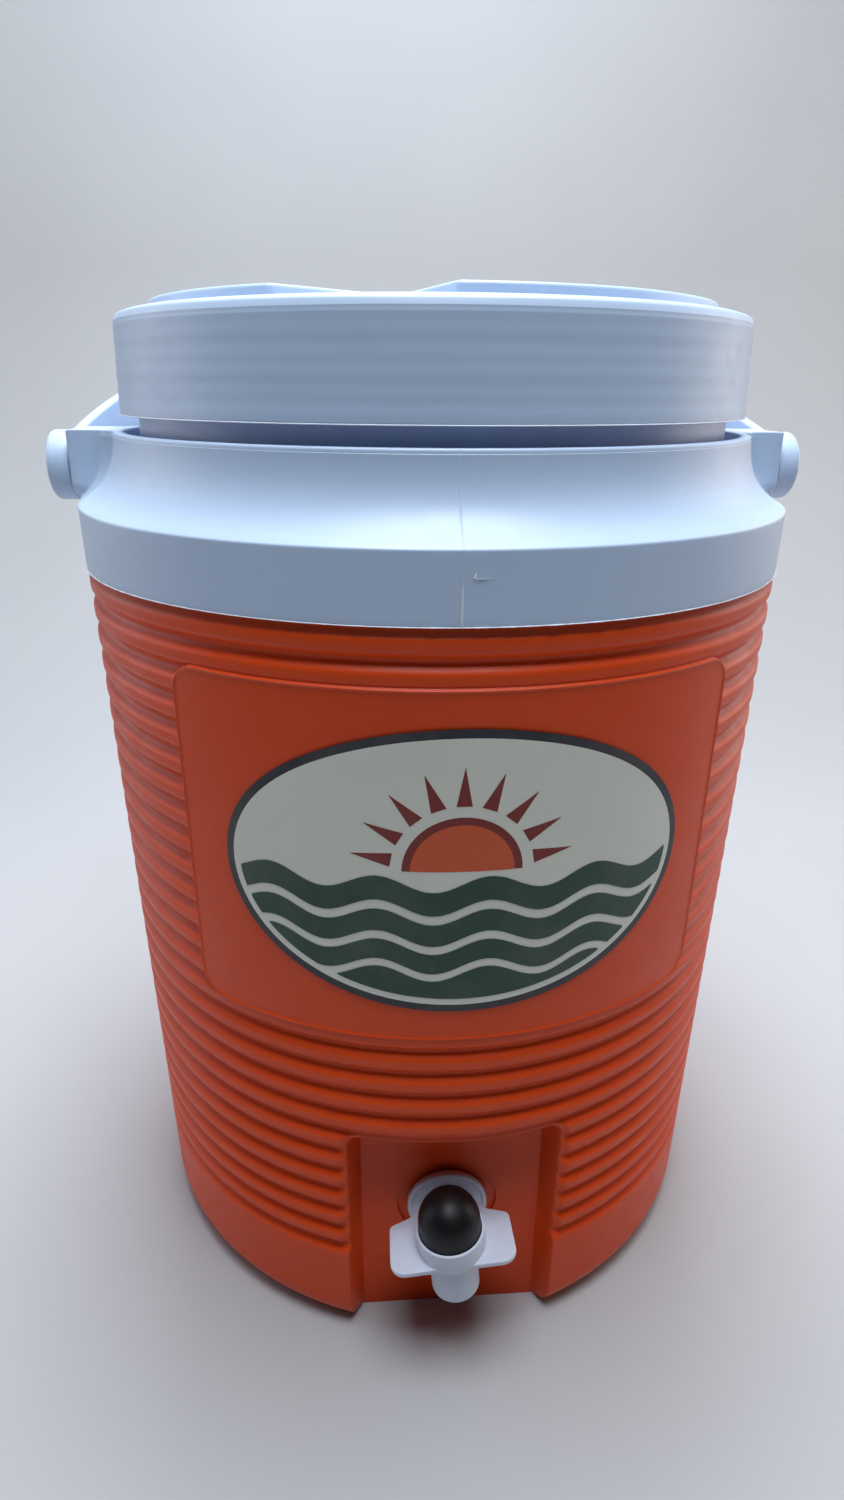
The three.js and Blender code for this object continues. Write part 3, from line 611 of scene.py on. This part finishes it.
quarter_turns = [math.radians(90 * i) for i in range(4)]
liner_profile = rounded([(0, 22, 0), (91.5, 22, 2.5), (97.5, 28, 4), (97.5, 296, 3), (102.5, 301.5, 3),
                         (102.5, 344, 0.9), (99.5, 344, 0.9), (99.5, 302.8, 3), (95, 298, 3), (95, 29, 4),
                         (90.5, 24.5, 2.5), (0, 24.5, 0)])
neck_lugs = [lug(a + math.radians(45), 101.5, 104.6, 332, 335) for a in quarter_turns]
spotface = turned([(0, -95), (16.5, -95), (16.5, -80), (0, -80)], 64)
liner_hole = turned([(0, -100), (8.5, -100), (8.5, -90), (0, -90)], 48)
make_piece("liner_tub", "cooler_body", white_liner_plastic, [turned(liner_profile, 180)] + neck_lugs,
           cuts=[moved(spotface, along_inlet), moved(liner_hole, along_inlet)], node="inner_liner")

# %% [markdown]
# ## The lid
# The lid is a deep cap with a raised pad, and two finger notches let into the pad from its edge, where a hand
# grips to turn it. The cap is turned: its skirt carries the faint rings that the cutter left in the mould.
# The pad is a plate whose outline is a circle with two notches, because a notch's slanting sides would be
# ragged in a net of rings. Where two halves of a mould meet they leave a thin ragged fin of plastic, paler than
# the rest because it is so thin; the lid and the collar each have one along the lower edge.
# %% The lid's cap
NOTCH_ANGLE, NOTCH_SLOPE, NOTCH_APEX = math.radians(-16.2), math.radians(33), 54.5
PAD_RADIUS, PAD_TOP, LID_TOP = 96.0, 358.0, 354.5
RING_MARK = 0.05

skirt = [(np.interp(z, [324.2, 350.8], [108.26, 107.45]) + RING_MARK * math.sin(z * 0.93) * math.sin(z * 0.37),
          z) for z in np.linspace(324.4, 350.4, 66)]
underside = rounded([(0, 352, 0), (105.6, 352, 0.6), (105.6, 323.7, 0.35), (108.25, 323.7, 0.35),
                     (108.2, 324.4, 0)])
crown = rounded([(107.45, 350.5, 0), (107.4, 351.5, 0.5), (106.5, 353.6, 1.6), (103.4, LID_TOP, 3),
                 (90, LID_TOP, 0)])
lid_cap = turned(underside + skirt + crown + [(0, LID_TOP)], 240)


def notched_circle(radius):
    """The pad's outline: a circle with two opposite notches, whose mouths and tips are rounded."""
    slope = math.tan(NOTCH_SLOPE)
    a, b = 1 + slope ** 2, -2 * slope ** 2 * NOTCH_APEX
    c = (slope * NOTCH_APEX) ** 2 - radius ** 2
    mouth = (-b + math.sqrt(b * b - 4 * a * c)) / (2 * a)
    mouth_angle = math.atan2((mouth - NOTCH_APEX) * slope, mouth)
    corners = []
    for turn in (0, math.pi):
        middle = NOTCH_ANGLE + turn
        for angle, reach, corner in ((middle - mouth_angle, radius, 2.6), (middle, NOTCH_APEX, 7.0),
                                     (middle + mouth_angle, radius, 2.6)):
            corners.append((reach * math.sin(angle), -reach * math.cos(angle), corner))
        start, stop = middle + mouth_angle + 0.06, middle + math.pi - mouth_angle - 0.06
        for angle in np.linspace(start, stop, 96):
            corners.append((radius * math.sin(angle), -radius * math.cos(angle), 0))
    return rounded(corners, closed=True, steps=7)


pad = plate(notched_circle(PAD_RADIUS), 353.2, PAD_TOP, edge_top=1.1)
lid_lugs = [lug(a, 103.2, 106.5, 327.5, 330.5) for a in quarter_turns]


def burr(name, body, radius, height, reach, node):
    """A thin fin of irregular width round a lower edge, whose reach swells and dies away with the angle."""
    angle = np.linspace(0, 2 * math.pi, 1440, endpoint=False)
    ragged = np.abs(np.sin(angle * 61) * np.sin(angle * 37 + 1)) + 0.6 * np.abs(np.sin(angle * 173 + 2)) ** 3
    width = reach * (0.25 + 0.75 * ragged * (0.6 + 0.4 * np.sin(angle * 5 + 0.6)))
    rows = [polar(radius + width * out, angle, height + lift)
            for out, lift in ((-0.6, 0.0), (1.0, 0.05), (1.0, 0.17), (-0.6, 0.3))]
    make_piece(name, body, burr_plastic, [net(rows, ring_of_rows=True)], node=node)


def sliver(name, path):
    """A thin pale sliver on the collar's band along a path of (degrees, height, half width)."""
    rows = []
    for degrees_round, height, half in path:
        angle, spread = math.radians(degrees_round), np.array([-half, 0, half, 0]) / BAND_RADIUS
        out = np.array([0, 0.16, 0, -0.25]) * min(1, half * 20)
        across = height + np.array([0, 0.3, 0, -0.3]) * half
        rows.append(polar(BAND_RADIUS - 0.03 + out, angle + spread, across))
    make_piece(name, "cooler_body", burr_plastic, [net(rows)], node="collar")


sliver("collar_seam_burr", [(-0.95, 276.2, 0), (-0.95, 276.5, 0.34), (-0.98, 279, 0.3), (-0.93, 282, 0.22),
                            (-0.95, 285.5, 0.14), (-0.95, 288, 0)])
sliver("collar_nick", [(0.62, 290.4, 0), (0.5, 289.6, 0.25), (0.44, 288.6, 0.42), (0.9, 288.3, 0.4),
                       (1.5, 288.4, 0.26), (2.2, 288.5, 0)])
burr("lid_burr", "lid", 108.35, 323.75, 0.32, "lid_cap")
burr("collar_burr", "cooler_body", 124.75, 275.75, 0.3, "collar")
make_piece("lid_cap_moulding", "lid", pale_blue_polyethylene, [lid_cap, pad] + lid_lugs, node="lid_cap")

# %% [markdown]
# ### Inside the lid
# A plug is pressed into the cap from below. It holds a disc of foam against the cold, and its flange traps the
# gasket on the neck. All three are plain turned pieces; the plug's face has the shallow rings that stiffen it.
# %% Plug, foam and gasket
plug_profile = rounded([(0, 336, 0), (30, 336, 0), (31, 336.5, 0.5), (34, 336.5, 0.5), (35, 336, 0.5),
                        (70, 336, 0.5), (71, 336.5, 0.5), (74, 336.5, 0.5), (75, 336, 0.5), (98.9, 336, 1.6),
                        (98.9, 346.6, 0.3), (105.2, 346.6, 0.3), (105.2, 348.8, 0.3), (96.4, 348.8, 0.3),
                        (96.4, 338.5, 1), (0, 338.5, 0)])
make_piece("lid_plug", "lid", white_liner_plastic, [turned(plug_profile)], node="lid_inner_plate")
foam_profile = rounded([(0, 338.8, 0), (96, 338.8, 0.6), (96, 351.7, 0.6), (0, 351.7, 0)])
make_piece("lid_foam_disc", "lid", cut_foam, [turned(foam_profile)], node="lid_foam")
make_piece("lid_gasket_ring", "lid_seal", black_rubber,
           [turned(rounded([(101, 344.3, 0), (102.4, 344.3, 0.6), (102.4, 346.3, 0.6), (99.8, 346.3, 0.6),
                            (99.8, 344.3, 0.6)]))], node="lid_gasket")
body_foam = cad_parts["body_foam"]
for holder in body_foam.material_slots:
    holder.material = cut_foam
print("body_foam keeps its CAD solid, in", body_foam.material_slots[0].material.name)

# %% [markdown]
# ## The bail handle
# The handle is a flat strap bent to an arch, moulded in one with two round eyes that clip over pins in the
# bosses. Its path is two long arcs that blend into a tighter crown. Drawn flat, the strap is a plate with
# round edges, which is simpler and truer than sweeping a section, and the eyes are turned on the pivot's line.
# %% Build the handle
OUTER_REACH, STRAP, STRAP_HALF_WIDTH = 132.0, 4.0, 9.0
SIDE_ARC, CROWN_ARC = 272.0, 126.0


def strap_outline():
    side_centre = SIDE_ARC - OUTER_REACH
    blend = math.acos(side_centre / (SIDE_ARC - CROWN_ARC))
    crown_height = (SIDE_ARC - CROWN_ARC) * math.sin(blend)
    side = [(SIDE_ARC, a) for a in np.linspace(0, blend, 20)]
    crown_half = [(CROWN_ARC, a) for a in np.linspace(blend, math.pi / 2, 44)[1:]]

    def half(inset):
        points = [((r - inset) * math.cos(a) - side_centre, (r - inset) * math.sin(a)) for r, a in side]
        return points + [((r - inset) * math.cos(a), crown_height + (r - inset) * math.sin(a))
                         for r, a in crown_half]

    outer, inner = half(0), half(STRAP)
    other_outer, other_inner = ([(-x, y) for x, y in points[:-1][::-1]] for points in (outer, inner))
    return outer + other_outer + (inner + other_inner)[::-1]


strap = plate(strap_outline(), -STRAP_HALF_WIDTH, STRAP_HALF_WIDTH, 1.3, 1.3)
eye_profile = rounded([(0, 128.0, 0), (12, 128.0, 0.7), (12, 136, 1.9), (0, 136, 0)], steps=6)
eye_bore = turned([(0, 127), (4.3, 127), (4.3, 133.9), (0, 133.9)], 48)
sides = [along_x, half_turn @ along_x]
make_piece("bail_handle_strap", "handle", pale_blue_polyethylene,
           [moved(strap, handle_place)] + [moved(turned(eye_profile, 96), handle_place @ s) for s in sides],
           cuts=[moved(eye_bore, handle_place @ s) for s in sides], node="bail_handle")
pin_profile = rounded([(0, 114.3, 0), (4, 114.3, 0.5), (4, 133.6, 0.5), (0, 133.6, 0)])
for name, s in (("handle_pin_right", sides[0]), ("handle_pin_left", sides[1])):
    make_piece(name + "_stub", "cooler_body", pale_blue_polyethylene,
               [moved(turned(pin_profile, 48), pivot_height @ s)], node=name)

# %% [markdown]
# ## The spigot
# The tap is a push-down valve. A thumb on the black dome pushes a stem, which moves a seal off its seat at the
# bottom of an upright tube; a spring under the dome brings it back. The body is one moulding: cup, tube, a
# winged plate for two fingers to pull against, and a threaded inlet with a flange. Each is a turned solid or a
# plate, and they are joined and bored like the CAD, then the whole tap leans as it was left when it was fitted.
# %% The spigot's body
tap_axis = spigot_place @ Matrix.Translation((0, SPIGOT_OUT, 0))
tap_inlet = spigot_place @ to_the_front
tube = turned(rounded([(0, -17.1, 0), (8.5, -17.1, 0.5), (8.55, -1.6, 1.2), (11.3, 0.6, 1.2), (11.85, 3, 0),
                       (12, 9.7, 0.36), (0, 9.7, 0)]), 96)
wing = [(9, -103.6, 0), (12.6, -109.6, 4), (21.6, -112.9, 2.6), (22, -132.3, 5.2)]
wings = plate(rounded([(-x, y, r) for x, y, r in wing] + wing[::-1], closed=True, steps=8), 0.5, 2.5, 0.5, 0.5)
flange = turned(rounded([(0, -104.1, 0), (12.8, -104.1, 0.3), (13.3, -104.6, 0.3), (14.7, -104.6, 0.6),
                         (14.7, -102.4, 0.2), (0, -102.4, 0)]), 96)
inlet = turned([(0, -119), (8, -119), (8, -83), (7.4, -82), (0, -82)], 64)
passage = turned([(0, -18.1), (6.8, -18.1), (6.8, -9.2), (4.4, -9.2), (4.4, -7.2), (6.6, -7.2), (6.6, 2.3),
                  (2.3, 2.3), (2.3, 2.9), (4.3, 2.9), (4.3, 4.3), (11.15, 4.3), (11.15, 10.7), (0, 10.7)], 96)
water_bore = turned([(0, -121), (3.9, -121), (3.9, -81), (0, -81)], 48)
water_line = spigot_place @ Matrix.Translation((0, 0, -1.7)) @ to_the_front
make_piece("spigot_body_moulding", "cooler_body", pale_tap_plastic,
           [moved(tube, tap_axis), moved(wings, spigot_place), moved(flange, tap_inlet),
            moved(inlet, tap_inlet)],
           cuts=[moved(passage, tap_axis), moved(water_bore, water_line)], node="spigot_body")

# %% The parts inside and round it
DOME_BASE, DOME_SPRING, DOME_RADIUS, DOME_RISE = 8.7, 13.5, 10.85, 10.7
HOLLOW_RADIUS, HOLLOW_RISE, POST_RADIUS, SOCKET_RADIUS = 9.2, 9.05, 3.6, 2.1
dome_steps = np.linspace(0, math.pi / 2, 22)
hollow_steps = np.linspace(0, math.acos(POST_RADIUS / HOLLOW_RADIUS), 12)
dome = [(DOME_RADIUS * math.cos(a), DOME_SPRING + DOME_RISE * math.sin(a)) for a in dome_steps[::-1]]
dome[0] = (0, dome[0][1])
dome += [(DOME_RADIUS, 9.0), (10.6, DOME_BASE)]
hollow = [(HOLLOW_RADIUS, DOME_BASE)]
hollow += [(HOLLOW_RADIUS * math.cos(a), DOME_SPRING + HOLLOW_RISE * math.sin(a)) for a in hollow_steps]
post = [(POST_RADIUS, 8.9), (SOCKET_RADIUS, 8.9), (SOCKET_RADIUS, 20.1), (0, 20.1)]
button = turned(dome + hollow + post, 96)
make_piece("spigot_button_dome", "tap_button", black_button_plastic, [moved(button, tap_axis)],
           node="spigot_button")
stem = turned(rounded([(0, -12.8, 0), (3.4, -12.8, 0.4), (3.4, -11.7, 0.3), (1.8, -11.7, 0.3), (1.8, 19.8, 0.4),
                       (0, 19.8, 0)], steps=3), 48)
make_piece("spigot_stem_rod", "tap_button", white_liner_plastic, [moved(stem, tap_axis)], node="spigot_stem")


def soft_ring(inner, outer, low, high, edge):
    """A rubber ring of rectangular section with soft corners."""
    middle = (inner + outer) / 2
    return turned(rounded([(middle, low, 0), (outer, low, edge), (outer, high, edge), (inner, high, edge),
                           (inner, low, edge)]), 96)


for name, body, ring_size, line, node in (
        ("spigot_seal_disc", "tap_button", (2.1, 6.2, -11.4, -9.5, 0.4), tap_axis, "spigot_valve_seal"),
        ("spigot_stem_seal", "cooler_body", (2.1, 4.0, 3.1, 4.1, 0.45), tap_axis, "spigot_stem_oring"),
        ("spigot_washer_out", "cooler_body", (8.4, 13.5, -102.1, -101, 0.3), tap_inlet, "spigot_outer_washer"),
        ("spigot_washer_in", "cooler_body", (8.4, 15, -94.7, -92.4, 0.5), tap_inlet, "spigot_inner_washer")):
    make_piece(name, body, black_rubber, [moved(soft_ring(*ring_size), line)], node=node)
hexagon = [(14.5 * math.sin(a), -14.5 * math.cos(a), 1.2) for a in np.radians(range(0, 360, 60))]
nut = plate(rounded(hexagon, closed=True), -92.1, -84.1, 0.7, 0.7)
nut_bore = turned([(0, -93), (8.3, -93), (8.3, -83), (0, -83)], 64)
make_piece("spigot_nut_hex", "cooler_body", pale_tap_plastic, [moved(nut, tap_inlet)],
           cuts=[moved(nut_bore, tap_inlet)], node="spigot_nut")

# %% [markdown]
# ### The return spring
# A wire is a circle carried along a helix. The section is small and the path has no sharp turns, so each ring
# of points is placed square to the path by formula. The end turns lie closer together, as a ground spring's
# do.
# %% Build the spring
COIL, WIRE, SPRING_LOW, SPRING_HIGH, TURNS, WIRE_SIDES = 6.3, 0.45, 5.1, 18.4, 5, 10
STEPS_A_TURN, CLOSED_ENDS = 40, 0.06


def spring_net():
    """A round wire on a helix whose pitch is smaller at both ends."""
    rows = []
    up = Vector((0, 0, 1))
    for t in np.linspace(0, 1, TURNS * STEPS_A_TURN + 1):
        a = t * TURNS * 2 * math.pi
        out = Vector((math.cos(a), math.sin(a), 0))
        climb = t - CLOSED_ENDS * math.sin(2 * math.pi * t)
        middle = out * COIL + up * (SPRING_LOW + WIRE / 2 + (SPRING_HIGH - SPRING_LOW - WIRE) * climb)
        rows.append([middle + WIRE * (out * math.cos(b) + up * math.sin(b))
                     for b in np.linspace(0, 2 * math.pi, WIRE_SIDES, endpoint=False)])
    for end in (0, -1):
        tip = sum((Vector(p) for p in rows[end]), Vector()) / WIRE_SIDES
        rows.insert(0 if end == 0 else len(rows), [tip] * WIRE_SIDES)
    return net(rows)


spring = make_piece("spigot_spring_coil", "cooler_body", drawn_steel, [moved(spring_net(), tap_axis)],
                    node="spigot_spring")
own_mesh(spring)

# %% [markdown]
# ## The label
# The label is a printed film, 0.3 mm thick, wrapped on the smooth panel. Its design here is a plain badge of a
# sun over waves, in the cooler's own colours. Each colour starts as flat outlines, which are cut into upright
# strips so that they can bend round the body, and lies a hair above the one below, as screen-printed inks do.
# %% Wrapping a flat outline on the body
LABEL_CENTRE, LABEL_HALF_WIDTH, LABEL_HALF_HEIGHT = 201.0, 73.5, 47.0
PANEL_PROUD, FILM, INK, STRIP, BORDER = 0.5, 0.3, 0.045, 2.5, 2.6


def oval(half_width, half_height, count=144):
    return [(half_width * math.cos(a), half_height * math.sin(a))
            for a in np.linspace(0, 2 * math.pi, count, endpoint=False)]


def wrapped(name, outlines, lift, thickness, material):
    """Flat outlines in arc length and height, made solid and bent round the body, as one mesh."""
    work = bmesh.new()
    for outline in outlines:
        work.faces.new([work.verts.new((x, y + LABEL_CENTRE, 0)) for x, y in outline])
    bmesh.ops.remove_doubles(work, verts=work.verts, dist=0.001)
    bmesh.ops.triangulate(work, faces=work.faces)
    for x in np.arange(-LABEL_HALF_WIDTH, LABEL_HALF_WIDTH, STRIP):
        bmesh.ops.bisect_plane(work, geom=work.verts[:] + work.edges[:] + work.faces[:], plane_co=(x, 0, 0),
                               plane_no=(1, 0, 0), dist=1e-5)
    top = bmesh.ops.extrude_face_region(work, geom=work.faces[:])["geom"]
    for vertex in (g for g in top if isinstance(g, bmesh.types.BMVert)):
        vertex.co.z = thickness
    for vertex in work.verts:
        around, height, out = vertex.co
        radius = crest(height) + lift + out
        angle = around / crest(height)
        vertex.co = Vector((radius * math.sin(angle), -radius * math.cos(angle), height)) * MM
    bmesh.ops.recalc_face_normals(work, faces=work.faces)
    data = bpy.data.meshes.new(name)
    work.to_mesh(data)
    work.free()
    data.materials.append(material)
    thing = bpy.data.objects.new(name, data)
    bpy.context.scene.collection.objects.link(thing)
    finish_piece(thing, "cooler_body", material, "label_decal")


# %% The badge's design
FIELD_WIDTH, FIELD_HEIGHT = 68.6, 42.1
SUN_RADIUS, SUN_HEIGHT = 17.5, 3.0


def wave_band(base, depth):
    """A wavy band across the badge, cut off by its inner oval, as a row of four-sided bits."""
    xs = FIELD_WIDTH * np.sin(np.linspace(-math.pi / 2, math.pi / 2, 200))
    oval_half = FIELD_HEIGHT * np.sqrt(np.maximum(1 - (xs / FIELD_WIDTH) ** 2, 0))
    top = base + 2.6 * np.sin(xs * 2 * math.pi / 33)
    bottom = top - depth
    low, high = np.maximum(bottom, -oval_half), np.minimum(top, oval_half)
    return [[(xs[i], low[i]), (xs[i + 1], low[i + 1]), (xs[i + 1], high[i + 1]), (xs[i], high[i])]
            for i in range(len(xs) - 1) if min(high[i] - low[i], high[i + 1] - low[i + 1]) > 0.05]


def sun_disc(radius):
    """The part of the sun that stands over the horizon."""
    return [(radius * math.cos(a), SUN_HEIGHT + radius * math.sin(a)) for a in np.linspace(0, math.pi, 48)]


def sun_rays(count, inner, outer, half):
    rays = []
    for k in range(count):
        a = math.pi * (k + 0.5) / count
        rays.append([((inner if i else outer) * math.cos(a + i * half),
                      SUN_HEIGHT + (inner if i else outer * (0.86 + 0.14 * math.sin(a)))
                      * math.sin(a + i * half)) for i in (-1, 0, 1)])
    return rays


wrapped("label_film", [oval(LABEL_HALF_WIDTH, LABEL_HALF_HEIGHT)], PANEL_PROUD, FILM, ink_black)
wrapped("label_field", [oval(LABEL_HALF_WIDTH - BORDER, LABEL_HALF_HEIGHT - BORDER)], PANEL_PROUD + FILM, INK,
        ink_cream)
over = PANEL_PROUD + FILM + INK
wrapped("label_rays", sun_rays(9, SUN_RADIUS + 3.5, SUN_RADIUS + 15.5, math.radians(6.2)), over, INK, ink_red)
wrapped("label_sun_edge", [sun_disc(SUN_RADIUS)], over, INK, ink_red)
wrapped("label_sun", [sun_disc(SUN_RADIUS - 2.4)], over + INK, INK, ink_orange)
bands = ((-1.5, 8.0), (-12.7, 7.5), (-23.2, 7.0), (-33.0, 30))
waves = sum((wave_band(base, depth) for base, depth in bands), [])
wrapped("label_waves", waves, over + INK * 2, INK, ink_green)

# %% [markdown]
# ## Where it stands
# The floor and the wall are one sheet of grey paper with a wide bend, so there is no horizon line. The light
# is broad and comes from overhead, with a weak panel on each side, so the upright faces are in soft shade.
# %% Paper sweep
def paper():
    material, tree, place = new_finish("backdrop_paper")
    tone = two_tone(tree, "#b0b1b3", "#b8b9ba", noise(tree, place, 180, 2.0))
    end_finish(tree, {"Roughness": 0.75, "IOR": 1.45}, {"Base Color": tone})
    return material


SWEEP_FRONT, SWEEP_BACK, SWEEP_BEND, SWEEP_TOP, SWEEP_HALF = -1600, 960, 480, 2200, 2400
bend = [(SWEEP_BACK - SWEEP_BEND + SWEEP_BEND * math.sin(a), SWEEP_BEND * (1 - math.cos(a)))
        for a in np.linspace(0, math.pi / 2, 32)]
spine = [(SWEEP_FRONT, 0)] + bend + [(SWEEP_BACK, SWEEP_TOP)]
sweep_points = [(side * SWEEP_HALF, y, z) for y, z in spine for side in (-1, 1)]
sweep_faces = [(2 * i, 2 * i + 1, 2 * i + 3, 2 * i + 2) for i in range(len(spine) - 1)]
backdrop = mesh_object("backdrop", (sweep_points, sweep_faces))
for face in backdrop.data.polygons:
    face.use_smooth = True
backdrop.data.materials.append(paper())


# %% Soft lights
def soft_light(name, place, aim, size, power, colour):
    data = bpy.data.lights.new(name, "AREA")
    data.shape = "RECTANGLE"
    data.size, data.size_y = size
    data.energy = power
    data.color = linear(colour)[:3]
    light = bpy.data.objects.new(name, data)
    bpy.context.scene.collection.objects.link(light)
    light.location = place
    light.rotation_euler = (Vector(aim) - Vector(place)).to_track_quat("-Z", "Y").to_euler()


soft_light("ceiling", (0.02, 0.04, 1.30), (0, 0.04, 0.1), (1.3, 0.58), 30, "#eff6ff")
soft_light("wall_right", (1.25, 0.35, 0.55), (0, 0, 0.25), (1.0, 0.9), 7.0, "#fff6f0")
soft_light("wall_left", (-1.25, 0.35, 0.55), (0, 0, 0.25), (1.0, 0.9), 5.2, "#f4f6ff")
world = bpy.data.worlds.new("room")
world.use_nodes = True
room = world.node_tree.nodes["Background"]
room.inputs["Color"].default_value = linear("#c9d3de")
room.inputs["Strength"].default_value = 0.02
bpy.context.scene.world = world

# %% [markdown]
# ## The camera
# The camera stands close and looks down, so the cooler narrows strongly towards its foot. It is described by
# its place, the angle that it looks down, the angle that it looks aside and a slight tilt of the hand.
# %% Camera
CAMERA_PLACE = Vector((-28.8, -347.4, 333.0)) * MM
LOOK_DOWN, LOOK_ASIDE, TILT = math.radians(22.06), math.radians(4.3), math.radians(0.40)
LENS, SENSOR, NEAREST = 21.528, 36.0, 0.01
ahead = Vector((math.sin(LOOK_ASIDE) * math.cos(LOOK_DOWN), math.cos(LOOK_ASIDE) * math.cos(LOOK_DOWN),
                -math.sin(LOOK_DOWN)))
level = ahead.cross(Vector((0, 0, 1))).normalized()
right = level * math.cos(TILT) + level.cross(ahead) * math.sin(TILT)
above = right.cross(ahead)
camera_data = bpy.data.cameras.new("camera")
camera_data.sensor_width = SENSOR
camera_data.lens = LENS
camera_data.clip_start = NEAREST
camera = bpy.data.objects.new("camera", camera_data)
bpy.context.scene.collection.objects.link(camera)
camera_turn = Matrix((right, above, -ahead)).transposed().to_4x4()
camera.matrix_world = Matrix.Translation(CAMERA_PLACE) @ camera_turn
bpy.context.scene.camera = camera
bpy.context.scene.view_settings.view_transform = "Standard"
print("lens, mm:", round(camera_data.lens, 2))
